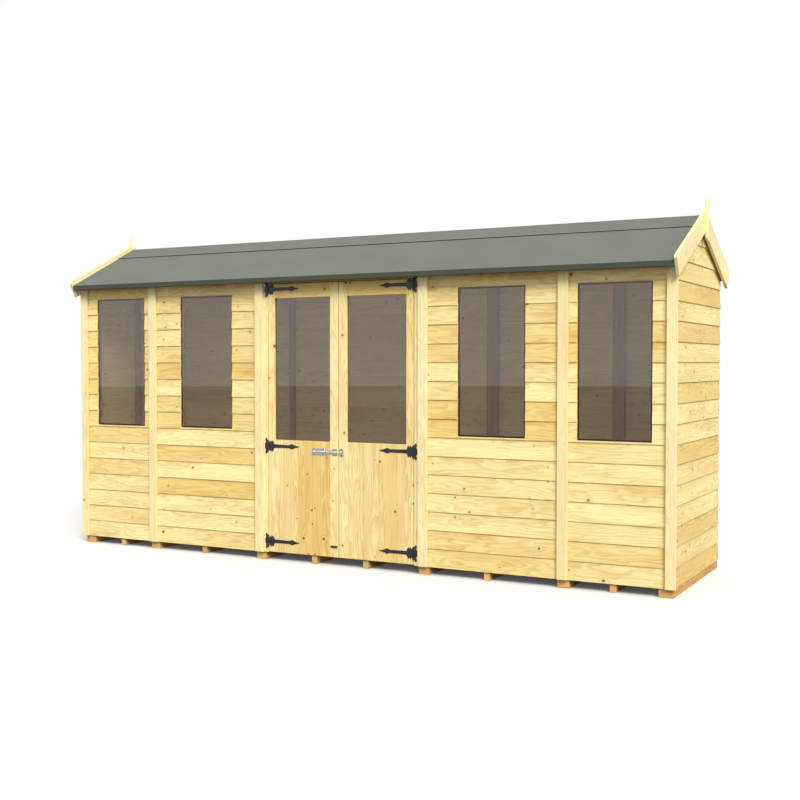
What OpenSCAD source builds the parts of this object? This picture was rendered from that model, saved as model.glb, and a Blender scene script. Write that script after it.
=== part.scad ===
// Long, shallow garden summerhouse: timber frame, horizontal cladding, apex felt roof,
// four fixed windows and a pair of half-glazed doors in the front wall.
// Origin: on the ground under the middle of the building. +X runs along the front
// towards its right-hand end, -Y is the front and +Z is up.

/* [Building] */
// Length over the corner trims
length = 4360; // [4200:10:4600]
// Depth over the cladding
depth = 1112; // [1060:4:1300]
// Height of the bearers
bearer_h = 50; // [40:1:60]
// Height of the roof covering at the ridge, above the ground
ridge_z = 2184; // [2140:1:2240]
// Rise of the roof for each unit of depth
roof_rise = 0.483; // [0.46:0.001:0.50]
// Reach of the roof edge from the ridge line
roof_reach = 646; // [640:1:660]
// Width of the panel that holds the doors
door_panel_w = 1219; // [1210:1:1240]
// Width of the wall panel beside the doors
inner_panel_w = 907.5; // [890:0.5:930]

/* [Timber] */
// Thickness of the cladding
clad_t = 12; // [8:1:16]
// Side of a framing timber
frame_w = 38; // [34:1:44]
// Thickness of the floor boards
deck_t = 12; // [10:1:18]
// Width of a cover trim
trim_w = 64; // [50:1:70]
// Thickness of a cover trim
trim_t = 18; // [12:1:20]

/* [Windows] */
// Width of a wall window
window_w = 438; // [400:1:460]
// Height of a wall window
window_h = 904; // [850:1:930]
// Sill of a wall window above the ground
window_z = 863; // [840:1:900]
// Centre of an outer window from the middle of the building
outer_window_x = 1818; // [1800:1:1830]
// Centre of an inner window from the middle of the building
inner_window_x = 1060; // [1040:1:1080]
// Thickness of the glass
glass_t = 4; // [3:1:6]

/* [Doors] */
// Half width of the doorway
doorway_half = 546; // [540:1:552]
// Gap beside the hinges
hinge_gap = 5; // [5:0.5:8]
// Half of the gap where the doors meet
meeting_gap = 3; // [3:0.5:5]
// Bottom of a door above the ground
door_z0 = 56; // [55:1:60]
// Top of a door above the ground
door_z1 = 1828; // [1800:1:1828]
// Side of a door window nearest the hinges, from the middle of the building
door_glass_x1 = 491; // [480:1:495]
// Side of a door window nearest the other door, from the middle of the building
door_glass_x0 = 63; // [60:1:80]
// Bottom of a door window above the ground
door_glass_z0 = 802; // [780:1:820]
// Top of a door window above the ground
door_glass_z1 = 1736; // [1700:1:1740]
// Thickness of the frame behind the door boards
door_frame_t = 32; // [25:1:38]

/* [Ironmongery] */
// Heights of the hinges above the ground
hinge_zs = [127, 760, 1795];
// Distance of the hinge pins in front of the door face
pin_stand = 6; // [6:0.5:8]
// Radius of a hinge knuckle
knuckle_r = 5; // [4:0.5:5.5]
// Radius of a hinge pin
pin_r = 2.6; // [2:0.1:3]
// Thickness of the hinge plates
iron_t = 3; // [2:0.5:3]
// Length of a hinge strap from its pin
strap_l = 245; // [200:5:300]
// Height of the sliding bolt above the ground
bolt_z = 734; // [720:1:745]
// Radius of the bolt rod
rod_r = 5; // [4:0.5:6]

/* [Hidden] */

$fn = 32;
half_l = length / 2;
half_d = depth / 2;
gable_out = half_l - clad_t;          // outer face of the gable cladding
gable_in = gable_out - clad_t;        // its inner face
clad_in = half_d - clad_t;            // inner face of the front and back cladding
frame_in = clad_in - frame_w;         // inner face of the wall frames
deck_z = bearer_h + deck_t;
deck_set = 6;                         // set-back of the floor from the cladding
door_joint_x = door_panel_w / 2;
panel_joint_x = door_joint_x + inner_panel_w;

cos_pitch = 1 / sqrt(1 + roof_rise * roof_rise);
pitch = atan(roof_rise);
felt_t = 3;
roof_board_t = 12;
felt_v = felt_t / cos_pitch;          // thicknesses measured straight down
board_v = roof_board_t / cos_pitch;
cap_v = 4 / cos_pitch;
lap_gap = 0.5;                        // clear gap under the ridge strip
felt_lift = 0.2;                      // clear gap under the felt
cap_reach = 168;                      // reach of the ridge strip from the ridge
ridge_seam = 0.75;                    // half the seam where two sheets meet
eave_z = 1836;                        // bottom of the felt turned down at the eave
batten_w = 30;
function felt_top(d) = ridge_z - cap_v - roof_rise * d;
function roof_under(d) = felt_top(d) - felt_v - board_v;
wall_top = floor(roof_under(half_d));
plate_z = wall_top - frame_w;

end_bearer_w = 84;
double_bearer_w = 74;
bearer_w = 38;
end_bearer_x = half_l - 60;
// Single bearers stand unevenly, under the joints of the floor boards.
single_bearer_xs = [-1815, -1086, -193, 193, 1033, 1815];

leaf_hinge_x = doorway_half - hinge_gap;
pin_x = doorway_half - hinge_gap / 2;
pin_y = -half_d - pin_stand;
stile_hinge_w = leaf_hinge_x - door_glass_x1 - 4 - 2;
ledge_x1 = door_glass_x1 + 4;
ledge_x0 = door_glass_x0 - 4;
stile_set = 8;                        // set-back of the meeting stile from the board edge
knuckle_h = 25;
knuckle_gap = 0.5;
plate_in = 7;                         // nearest reach of a hinge plate to its pin
plate_w = 22;
plate_h = 110;
block_w = 30;
block_h = 76;
strap_w = 15;

bolt_y = -half_d - 9;
bolt_plate_x = [-199, -9];
guide_xs = [-188, -128, -24];
guide_w = 8;
rod_x = [-192, -meeting_gap];

function mirrored() = [-1, 1];

// A box given by its low and high corners.
module block(low, high) {
    translate(low) cube(high - low);
}

// An outline in depth and height, drawn out along the building from x0 to x1.
module along(x0, x1, points) {
    translate([x0, 0, 0]) rotate([90, 0, 90]) linear_extrude(x1 - x0) polygon(points);
}

// Children at the left and again, mirrored, at the right.
module both_ends() {
    for (side = [0, 1]) mirror([side, 0, 0]) children();
}

// Children at the front and again, mirrored, at the back.
module front_and_back() {
    for (side = [0, 1]) mirror([0, side, 0]) children();
}

// ---- Floor ----
module floor_bearers() color("peru") {
    for (x = [-end_bearer_x, end_bearer_x]) bearer(x, end_bearer_w);
    for (x = [-panel_joint_x, -door_joint_x, door_joint_x, panel_joint_x])
        bearer(x, double_bearer_w);
    for (x = single_bearer_xs) bearer(x, bearer_w);
}

module bearer(x, w) {
    block([x - w / 2, -clad_in, 0], [x + w / 2, clad_in, bearer_h]);
}

module floor_deck() color("burlywood")
    block([-gable_in + deck_set, -clad_in + deck_set, bearer_h],
          [gable_in - deck_set, clad_in - deck_set, deck_z]);

// ---- Walls ----
// A slab of front cladding from x0 to x1, cut through for one window.
module window_wall(x0, x1, window_x) color("khaki") difference() {
    block([x0, -half_d, bearer_h], [x1, -clad_in, wall_top]);
    block([window_x - window_w / 2, -half_d - 1, window_z],
          [window_x + window_w / 2, -clad_in + 1, window_z + window_h]);
}

module front_left_outer_wall() window_wall(-gable_in, -panel_joint_x, -outer_window_x);
module front_left_inner_wall() window_wall(-panel_joint_x, -door_joint_x, -inner_window_x);
module front_right_inner_wall() window_wall(door_joint_x, panel_joint_x, inner_window_x);
module front_right_outer_wall() window_wall(panel_joint_x, gable_in, outer_window_x);

module back_wall() color("khaki")
    block([-gable_in, clad_in, bearer_h], [gable_in, half_d, wall_top]);

module gable_wall() color("khaki")
    along(gable_in, gable_out, [[-half_d, bearer_h], [half_d, bearer_h],
        [half_d, wall_top], [0, roof_under(0) - 1], [-half_d, wall_top]]);

module left_gable_wall() mirror([1, 0, 0]) gable_wall();
module right_gable_wall() gable_wall();

// ---- Wall frames ----
module door_head() color("khaki")
    block([-doorway_half, -half_d, door_z1 + 6], [doorway_half, -clad_in, wall_top]);

module door_posts() color("moccasin") both_ends() {
    block([doorway_half, -half_d, deck_z], [door_joint_x, -frame_in, wall_top]);
    block([doorway_half, -half_d, bearer_h], [door_joint_x, -clad_in, deck_z]);
}

// One upright of the front or back wall, between the plates.
module stud(x, w = frame_w, z0 = deck_z + frame_w, z1 = plate_z)
    block([x - w / 2, -clad_in, z0], [x + w / 2, -frame_in, z1]);

module wall_studs() color("sienna") {
    both_ends() {
        front_and_back() {
            stud(gable_in - frame_w / 2);
            stud(panel_joint_x - frame_w / 2 - 1);
            stud(panel_joint_x + frame_w / 2 + 1);
        }
        for (x = [outer_window_x, inner_window_x], side = mirrored())
            stud(x + side * (window_w + frame_w) / 2);
        stud(door_joint_x + frame_w / 2);
        mirror([0, 1, 0]) {
            stud(door_joint_x - frame_w / 2 - 1);
            stud(door_joint_x + frame_w / 2 + 1);
            stud((door_joint_x + panel_joint_x) / 2);
        }
        block([gable_in - frame_w, -frame_w / 2, deck_z + frame_w],
              [gable_in, frame_w / 2, plate_z]);
    }
    mirror([0, 1, 0]) stud(0);
}

// The rails that lie along the walls between x0 and x1, at a height of z.
module long_plates(z) {
    both_ends() block([door_joint_x, -clad_in, z], [gable_in, -frame_in, z + frame_w]);
    block([-gable_in, frame_in, z], [gable_in, clad_in, z + frame_w]);
    both_ends() block([gable_in - frame_w, -frame_in + 2, z],
                      [gable_in, frame_in - 2, z + frame_w]);
}

module bottom_plates() color("sienna") long_plates(deck_z);

module top_plates() color("sienna") {
    long_plates(plate_z);
    block([-doorway_half, -clad_in, plate_z], [doorway_half, -frame_in, wall_top]);
}

module window_rails() color("sienna") both_ends()
    for (x = [outer_window_x, inner_window_x], z = [window_z - frame_w, window_z + window_h])
        block([x - window_w / 2, -clad_in, z], [x + window_w / 2, -frame_in, z + frame_w]);

// ---- Cover trims ----
// A trim on the front face, from x0 to x1.
module trim(x0, x1)
    block([x0, -half_d - trim_t, bearer_h], [x1, -half_d, roof_under(half_d + trim_t) - 2]);

module corner_trims() color("wheat") both_ends() trim(half_l - 60, half_l);
module panel_trims() color("wheat") both_ends() front_and_back()
    trim(panel_joint_x - trim_w / 2, panel_joint_x + trim_w / 2);
module door_trims() color("wheat") {
    both_ends() trim(door_joint_x - trim_w / 2, door_joint_x + trim_w / 2);
    mirror([0, 1, 0]) both_ends() trim(door_joint_x - trim_w / 2, door_joint_x + trim_w / 2);
}

// ---- Windows ----
module window_panes() color("lightsteelblue", 0.4) both_ends()
    for (x = [outer_window_x, inner_window_x])
        block([x - window_w / 2, -clad_in, window_z],
              [x + window_w / 2, -clad_in + glass_t, window_z + window_h]);

module window_beads() color("sienna") both_ends() for (x = [outer_window_x, inner_window_x])
    bead_ring(x - window_w / 2, x + window_w / 2, window_z, window_z + window_h, 12);

// Square beads of width w round the inside of a window, behind its glass.
module bead_ring(x0, x1, z0, z1, w) difference() {
    block([x0, -clad_in + glass_t, z0], [x1, -clad_in + glass_t + w, z1]);
    block([x0 + w, -half_d, z0 + w], [x1 - w, -frame_in, z1 - w]);
}

// ---- Roof ----
// Outline of one layer of the front slope: top and bottom lines by depth from the ridge.
module slope_layer(d0, d1, above, thick)
    along(-half_l, half_l, [[-d0, felt_top(d0) - above], [-d1, felt_top(d1) - above],
        [-d1, felt_top(d1) - above - thick], [-d0, felt_top(d0) - above - thick]]);

module roof_front() color("tan")
    slope_layer(0, roof_reach - felt_t, felt_v + felt_lift, board_v - felt_lift);
module roof_back() mirror([0, 1, 0]) roof_front();

// Felt over each slope, turned down over the eave.
module roof_felt() color("dimgray") front_and_back()
    along(-half_l, half_l, [[-ridge_seam, felt_top(ridge_seam)],
        [-roof_reach, felt_top(roof_reach)], [-roof_reach, eave_z],
        [-roof_reach + felt_t, eave_z],
        [-roof_reach + felt_t, felt_top(roof_reach - felt_t) - felt_v],
        [-ridge_seam, felt_top(ridge_seam) - felt_v]]);

module ridge_felt() color("gray")
    along(-half_l, half_l, [[-cap_reach, felt_top(cap_reach) + lap_gap],
        [0, felt_top(0) + lap_gap], [cap_reach, felt_top(cap_reach) + lap_gap],
        [cap_reach, felt_top(cap_reach) + cap_v], [0, ridge_z],
        [-cap_reach, felt_top(cap_reach) + cap_v]]);

module eave_battens() color("tan") front_and_back() {
    d1 = roof_reach - felt_t;
    d0 = d1 - batten_w;
    along(-half_l, half_l, [[-d1, eave_z + felt_t], [-d0, eave_z + felt_t],
        [-d0, roof_under(d0)], [-d1, roof_under(d1)]]);
}

// A ridge board and one beam halfway down each slope, just clear of the roof boards.
function beam_top(d) = roof_under(d) - 0.3;
module roof_beams() color("sienna") {
    beam_w = 28;
    ridge_h = 90;
    beam_h = 60;
    beam_d = 300;                     // outer side of a slope's beam, from the ridge line
    along(-gable_in, gable_in,
        [[-beam_w / 2, beam_top(0) - ridge_h], [beam_w / 2, beam_top(0) - ridge_h],
         [beam_w / 2, beam_top(beam_w / 2)], [0, beam_top(0)],
         [-beam_w / 2, beam_top(beam_w / 2)]]);
    front_and_back() along(-gable_in, gable_in,
        [[-beam_d, beam_top(beam_d)], [-beam_d, beam_top(beam_d) - beam_h],
         [beam_w - beam_d, beam_top(beam_d) - beam_h],
         [beam_w - beam_d, beam_top(beam_d - beam_w)]]);
}

// One barge board: square lower end with its top corner cut off.
barge_t = 18;
barge_top = ridge_z + 29;             // where the board's top line meets the ridge line
barge_v = 120 / cos_pitch;
barge_reach = roof_reach + 17;
module barge_board() {
    top = barge_top - roof_rise * barge_reach;
    run = barge_v * cos_pitch * cos_pitch;
    tip = [barge_reach - run * roof_rise, top - run];
    along(half_l, half_l + barge_t, [[-ridge_seam, barge_top], [-barge_reach + 16, top + 8],
        [-barge_reach, top - 14], [-tip[0], tip[1]], [-ridge_seam, barge_top - barge_v]]);
}

module barge_boards() color("wheat") both_ends() front_and_back() barge_board();

// A finial over the joint of two barge boards: a batten that narrows to a blunt spike.
finial_w = 36;
finial_t = 17;
module finials() color("wheat") both_ends() {
    half = finial_w / 2;
    along(half_l + barge_t, half_l + barge_t + finial_t,
        [[-half, ridge_z - 140], [0, ridge_z - 156], [half, ridge_z - 140], [half, ridge_z + 10],
         [6, ridge_z + 101], [-6, ridge_z + 101], [-half, ridge_z + 10]]);
}

// ---- Doors ----
// The sub-parts of a door are drawn for the right-hand leaf and mirrored for the left.
module leaf_boards() color("khaki") difference() {
    block([meeting_gap, -half_d, door_z0], [leaf_hinge_x, -clad_in, door_z1]);
    block([door_glass_x0, -half_d - 1, door_glass_z0],
          [door_glass_x1, -clad_in + 1, door_glass_z1]);
}

leaf_back = -clad_in + door_frame_t;
module leaf_stiles() color("sienna") {
    block([ledge_x1, -clad_in, door_z0 + 14], [ledge_x1 + stile_hinge_w, leaf_back, door_z1 - 6]);
    block([meeting_gap + stile_set, -clad_in, door_z0 + 14], [ledge_x0, leaf_back, door_z1 - 6]);
}

module leaf_ledges() color("sienna")
    for (z = [[door_z0 + 16, door_z0 + 86], [door_glass_z0 - 74, door_glass_z0 - 4],
              [door_glass_z1 + 4, door_z1 - 6]])
        block([ledge_x0, -clad_in, z[0]], [ledge_x1, leaf_back, z[1]]);

module leaf_pane() color("lightsteelblue", 0.4)
    block([ledge_x0, -clad_in, door_glass_z0 - 4],
          [ledge_x1, -clad_in + glass_t, door_glass_z1 + 4]);

module left_door_boards() mirror([1, 0, 0]) leaf_boards();
module left_door_stiles() mirror([1, 0, 0]) leaf_stiles();
module left_door_ledges() mirror([1, 0, 0]) leaf_ledges();
module left_door_pane() mirror([1, 0, 0]) leaf_pane();
module right_door_boards() leaf_boards();
module right_door_stiles() leaf_stiles();
module right_door_ledges() leaf_ledges();
module right_door_pane() leaf_pane();

// ---- Hinges ----
// Outline in x and z, given a thickness in front of the door face.
module iron(points)
    translate([0, -half_d, 0]) rotate([90, 0, 0]) linear_extrude(iron_t) polygon(points);

// The fixed half: a pointed plate with the pin and the two outer knuckles.
module hinge_plate(z) {
    x0 = pin_x + plate_in;
    x1 = x0 + plate_w;
    mid = (x0 + x1) / 2;
    iron([[mid, z - plate_h / 2], [x1, z - plate_h / 2 + 18], [x1, z + plate_h / 2 - 18],
          [mid, z + plate_h / 2], [x0, z + plate_h / 2 - 18], [x0, z - plate_h / 2 + 18]]);
    for (side = mirrored()) {
        z0 = z + side * (knuckle_h + knuckle_gap) - knuckle_h / 2;
        translate([pin_x, pin_y, z0]) cylinder(r = knuckle_r, h = knuckle_h);
        block([pin_x, pin_y + knuckle_r - 2.5, z0], [x0 + 2, -half_d, z0 + knuckle_h]);
    }
    translate([pin_x, pin_y, z - knuckle_h]) cylinder(r = pin_r, h = 2 * knuckle_h);
}

module hinge_plates() color("darkslategray") both_ends() for (z = hinge_zs) hinge_plate(z);

// The moving half: a knuckle, a block beside it and a strap with a spade-shaped end.
module hinge_strap(z) {
    x1 = pin_x - plate_in;
    x0 = x1 - block_w;
    tip = pin_x - strap_l;
    spade = 14;
    difference() {
        union() {
            translate([pin_x, pin_y, z - knuckle_h / 2]) cylinder(r = knuckle_r, h = knuckle_h);
            block([x1 - 2, pin_y + knuckle_r - 2.5, z - knuckle_h / 2],
                  [pin_x, -half_d, z + knuckle_h / 2]);
            iron([[x1, z - block_h / 2], [x1, z + block_h / 2], [x0, z + block_h / 2 - 12],
                  [x0, z + strap_w / 2], [tip + 70, z + strap_w / 2], [tip + 50, z + spade],
                  [tip + 30, z + strap_w / 2], [tip, z], [tip + 30, z - strap_w / 2],
                  [tip + 50, z - spade], [tip + 70, z - strap_w / 2], [x0, z - strap_w / 2],
                  [x0, z - block_h / 2 + 12]]);
        }
        translate([pin_x, pin_y, z - knuckle_h]) cylinder(r = pin_r + 0.3, h = 2 * knuckle_h);
    }
}

module door_straps() color("darkslategray") for (z = hinge_zs) hinge_strap(z);
module left_door_straps() mirror([1, 0, 0]) door_straps();
module right_door_straps() door_straps();

// ---- Bolt ----
// A staple of width w that bridges the rod, with a round way through it.
module staple(x, w, clearance) difference() {
    block([x, bolt_y - rod_r - 3, bolt_z - rod_r - 6], [x + w, -half_d - 2, bolt_z + rod_r + 6]);
    translate([x - 1, bolt_y, bolt_z]) rotate([0, 90, 0]) cylinder(r = rod_r + clearance, h = w + 2);
}

module bolt_plate() color("silver") {
    block([bolt_plate_x[0], -half_d - 2, bolt_z - 23], [bolt_plate_x[1], -half_d, bolt_z + 23]);
    for (x = guide_xs) staple(x, guide_w, 0.4);
}

module bolt_rod() color("silver") {
    translate([rod_x[0], bolt_y, bolt_z]) rotate([0, 90, 0])
        cylinder(r = rod_r, h = rod_x[1] - rod_x[0]);
    block([-82, bolt_y - rod_r - 3, bolt_z - 29], [-68, bolt_y - 2, bolt_z]);
}

module bolt_keeper() color("silver") {
    block([10, -half_d - 2, bolt_z - 27], [37, -half_d, bolt_z + 27]);
    staple(14, 19, 1);
}

module turn_button() color("black")
    block([-56, -half_d - 8, door_z0 + 63], [-8, -half_d, door_z0 + 75]);

floor_bearers();
floor_deck();
front_left_outer_wall();
front_left_inner_wall();
front_right_inner_wall();
front_right_outer_wall();
back_wall();
left_gable_wall();
right_gable_wall();
door_head();
door_posts();
wall_studs();
bottom_plates();
top_plates();
window_rails();
corner_trims();
panel_trims();
door_trims();
window_panes();
window_beads();
roof_front();
roof_back();
roof_felt();
ridge_felt();
eave_battens();
roof_beams();
barge_boards();
finials();
hinge_plates();
left_door_boards();
left_door_stiles();
left_door_ledges();
left_door_pane();
left_door_straps();
bolt_plate();
bolt_rod();
turn_button();
right_door_boards();
right_door_stiles();
right_door_ledges();
right_door_pane();
right_door_straps();
bolt_keeper();
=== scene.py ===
import math
import random
import bpy
from mathutils import Matrix, Vector


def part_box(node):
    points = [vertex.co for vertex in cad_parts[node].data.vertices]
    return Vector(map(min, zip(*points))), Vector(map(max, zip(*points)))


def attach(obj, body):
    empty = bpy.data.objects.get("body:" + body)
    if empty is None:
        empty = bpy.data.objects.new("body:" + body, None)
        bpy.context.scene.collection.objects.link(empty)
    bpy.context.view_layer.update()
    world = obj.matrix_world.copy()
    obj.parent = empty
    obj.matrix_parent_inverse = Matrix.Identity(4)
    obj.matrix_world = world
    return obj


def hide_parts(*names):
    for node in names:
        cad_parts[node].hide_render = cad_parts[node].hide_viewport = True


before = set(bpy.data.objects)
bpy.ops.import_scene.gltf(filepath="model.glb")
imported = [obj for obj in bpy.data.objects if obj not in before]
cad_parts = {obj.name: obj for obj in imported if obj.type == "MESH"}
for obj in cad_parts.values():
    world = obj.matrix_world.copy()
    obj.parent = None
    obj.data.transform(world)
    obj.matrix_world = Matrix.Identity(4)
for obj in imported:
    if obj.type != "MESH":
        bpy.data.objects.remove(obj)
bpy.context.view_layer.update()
bpy.ops.object.select_all(action="DESELECT")

# Studio: a pale floor, an even pale surround and one broad lamp high in front of the building's
# right-hand end. The camera stands at chest height off the same end. The floor is pale to the
# camera and through glass, and grey in reflections and to bounced light.
scene = bpy.context.scene
scene.view_settings.view_transform = "Standard"

bpy.ops.object.camera_add(location=(3.7624, -6.7854, 1.3045))
camera = bpy.context.object
camera.rotation_euler = (math.radians(90 - 1.83), 0, math.radians(28.02))
camera.data.sensor_width = 36
camera.data.lens = 51.02
camera.data.clip_end = 200
scene.camera = camera

bpy.ops.object.light_add(type="SUN", location=(3, -8, 8))
key = bpy.context.object
key.rotation_euler = Vector((0.72, -0.72, 0.80)).to_track_quat("Z", "Y").to_euler()
key.data.energy = 2.9
key.data.angle = math.radians(25)
key.data.color = (1.0, 0.985, 0.96)

world = bpy.data.worlds.new("surround")
scene.world = world
world.use_nodes = True
nodes, links = world.node_tree.nodes, world.node_tree.links
air = nodes["Background"]
air.inputs["Color"].default_value = (1, 1, 1, 1)
air.inputs["Strength"].default_value = 0.90
shown = nodes.new("ShaderNodeBackground")
shown.inputs["Color"].default_value = (1, 1, 1, 1)
rays = nodes.new("ShaderNodeLightPath")
seen = nodes.new("ShaderNodeMath")
seen.operation = "MAXIMUM"
seen_or_bent = nodes.new("ShaderNodeMath")
seen_or_bent.operation = "MAXIMUM"
choice = nodes.new("ShaderNodeMixShader")
links.new(rays.outputs["Is Camera Ray"], seen.inputs[0])
links.new(rays.outputs["Is Glossy Ray"], seen.inputs[1])
links.new(seen.outputs[0], seen_or_bent.inputs[0])
links.new(rays.outputs["Is Transmission Ray"], seen_or_bent.inputs[1])
links.new(seen_or_bent.outputs[0], choice.inputs["Fac"])
links.new(air.outputs[0], choice.inputs[1])
links.new(shown.outputs[0], choice.inputs[2])
links.new(choice.outputs[0], nodes["World Output"].inputs["Surface"])

bpy.ops.mesh.primitive_circle_add(vertices=64, radius=60, fill_type="NGON", location=(0, 0, -0.001))
floor = bpy.context.object
floor.name = "studio_floor"
floor_paint = bpy.data.materials.new("floor paint")
floor_paint.use_nodes = True
nodes, links = floor_paint.node_tree.nodes, floor_paint.node_tree.links
pale = nodes["Principled BSDF"]
pale.inputs["Base Color"].default_value = (0.78, 0.78, 0.78, 1)
pale.inputs["Roughness"].default_value = 0.9
pale.inputs["Specular IOR Level"].default_value = 0.1
pale.inputs["Emission Color"].default_value = (1, 1, 1, 1)
pale.inputs["Emission Strength"].default_value = 0.05
dim = nodes.new("ShaderNodeBsdfDiffuse")
dim.inputs["Color"].default_value = (0.14, 0.14, 0.14, 1)
rays = nodes.new("ShaderNodeLightPath")
plain = nodes.new("ShaderNodeMath")
plain.operation = "MAXIMUM"
choice = nodes.new("ShaderNodeMixShader")
links.new(rays.outputs["Is Camera Ray"], plain.inputs[0])
links.new(rays.outputs["Is Transmission Ray"], plain.inputs[1])
links.new(plain.outputs[0], choice.inputs["Fac"])
links.new(dim.outputs[0], choice.inputs[1])
links.new(pale.outputs[0], choice.inputs[2])
links.new(choice.outputs[0], nodes["Material Output"].inputs["Surface"])
floor.data.materials.append(floor_paint)
bpy.ops.object.select_all(action="DESELECT")


# Floor bearers: twelve treated softwood timbers across the building, on the ground. Orange-brown
# from the preservative, sawn, with their growth rings at the cut ends.
def sawn(name, node, ease):
    """A timber of the frame, cut to its size there, with its arrises eased."""
    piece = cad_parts[node].copy()
    piece.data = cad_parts[node].data.copy()
    piece.name = piece.data.name = name
    piece.parent = None
    piece.matrix_world = Matrix()
    bpy.context.collection.objects.link(piece)
    piece.hide_render = False
    pick(piece)
    bpy.ops.object.mode_set(mode="EDIT")
    bpy.ops.mesh.select_all(action="SELECT")
    bpy.ops.mesh.remove_doubles(threshold=0.00002)
    bpy.ops.mesh.dissolve_limited(angle_limit=math.radians(1))
    bpy.ops.mesh.normals_make_consistent(inside=False)
    bpy.ops.object.mode_set(mode="OBJECT")
    bevel(piece, ease)
    return piece


def pick(*pieces):
    """Select these pieces alone, the first of them active."""
    bpy.ops.object.select_all(action="DESELECT")
    for piece in pieces:
        piece.select_set(True)
    bpy.context.view_layer.objects.active = pieces[0]


def bevel(piece, width):
    """Take the sharp edges off a piece. Its flat faces stay flat."""
    edges = piece.modifiers.new("eased edges", "BEVEL")
    edges.width = width
    edges.limit_method = "ANGLE"
    edges.angle_limit = math.radians(35)
    pick(piece)
    bpy.ops.object.modifier_apply(modifier=edges.name)
    bpy.ops.object.shade_flat()


def islands(mesh):
    """Lists of the vertices of each separate board in a mesh."""
    root = list(range(len(mesh.vertices)))

    def find(i):
        while root[i] != i:
            root[i] = root[root[i]]
            i = root[i]
        return i

    for edge in mesh.edges:
        a, b = find(edge.vertices[0]), find(edge.vertices[1])
        root[a] = b
    groups = {}
    for i in range(len(root)):
        groups.setdefault(find(i), []).append(i)
    return [groups[key] for key in sorted(groups)]


def lay_grain(piece, seed, tones=(0.0, 1.0), pith=(0.02, 0.09), way=None, row=None):
    """Give each board its own place in a log: grain runs along its longest edge, or as way says.
    What is left of a board beside a window keeps the same log: row is the height of one board.

    The attribute grain holds metres along, across and out from the pith, and tone is how
    dark the board is.
    """
    mesh = piece.data
    draw = random.Random(seed)
    mesh.attributes.new("grain", "FLOAT_VECTOR", "POINT")
    mesh.attributes.new("tone", "FLOAT", "POINT")
    grain, tone = mesh.attributes["grain"], mesh.attributes["tone"]
    group_of = {}
    groups = islands(mesh)
    for number, group in enumerate(groups):
        for i in group:
            group_of[i] = number
    longest = [(0, None)] * len(groups)
    for edge in mesh.edges:
        a, b = (mesh.vertices[i].co for i in edge.vertices)
        number = group_of[edge.vertices[0]]
        if (b - a).length > longest[number][0]:
            longest[number] = ((b - a).length, (b - a).normalized())
    widest = [(0, None)] * len(groups)
    for face in mesh.polygons:
        number = group_of[face.vertices[0]]
        if face.area > widest[number][0]:
            widest[number] = (face.area, face.normal.copy())
    for number, group in enumerate(groups):
        along = Vector(way) if way else longest[number][1]
        if max(along, key=abs) < 0:
            along = -along
        out = widest[number][1]
        out = (out - along * out.dot(along)).normalized()
        across = along.cross(out)
        middle = sum((mesh.vertices[i].co for i in group), Vector()) / len(group)
        if row:
            middle = Vector((0, 0, (math.floor(middle.z / row) + 0.5) * row))
            draw = random.Random(seed * 1000 + math.floor(middle.z / row))
        shift = Vector((draw.uniform(-40, 40), draw.uniform(-0.04, 0.04), draw.uniform(*pith)))
        dark = draw.uniform(*tones) ** 1.6
        for i in group:
            place = mesh.vertices[i].co - middle
            grain.data[i].vector = Vector((place.dot(along), place.dot(across), place.dot(out))) + shift
            tone.data[i].value = dark


def ramp(tree, low, high):
    """A smooth step from 0 at low to 1 at high."""
    node = tree.nodes.new("ShaderNodeMapRange")
    node.interpolation_type = "SMOOTHSTEP"
    node.inputs["From Min"].default_value = low
    node.inputs["From Max"].default_value = high
    return node


def mixed(tree, mode="MIX"):
    """A colour Mix node."""
    node = tree.nodes.new("ShaderNodeMix")
    node.data_type = "RGBA"
    node.blend_type = mode
    return node


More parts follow.
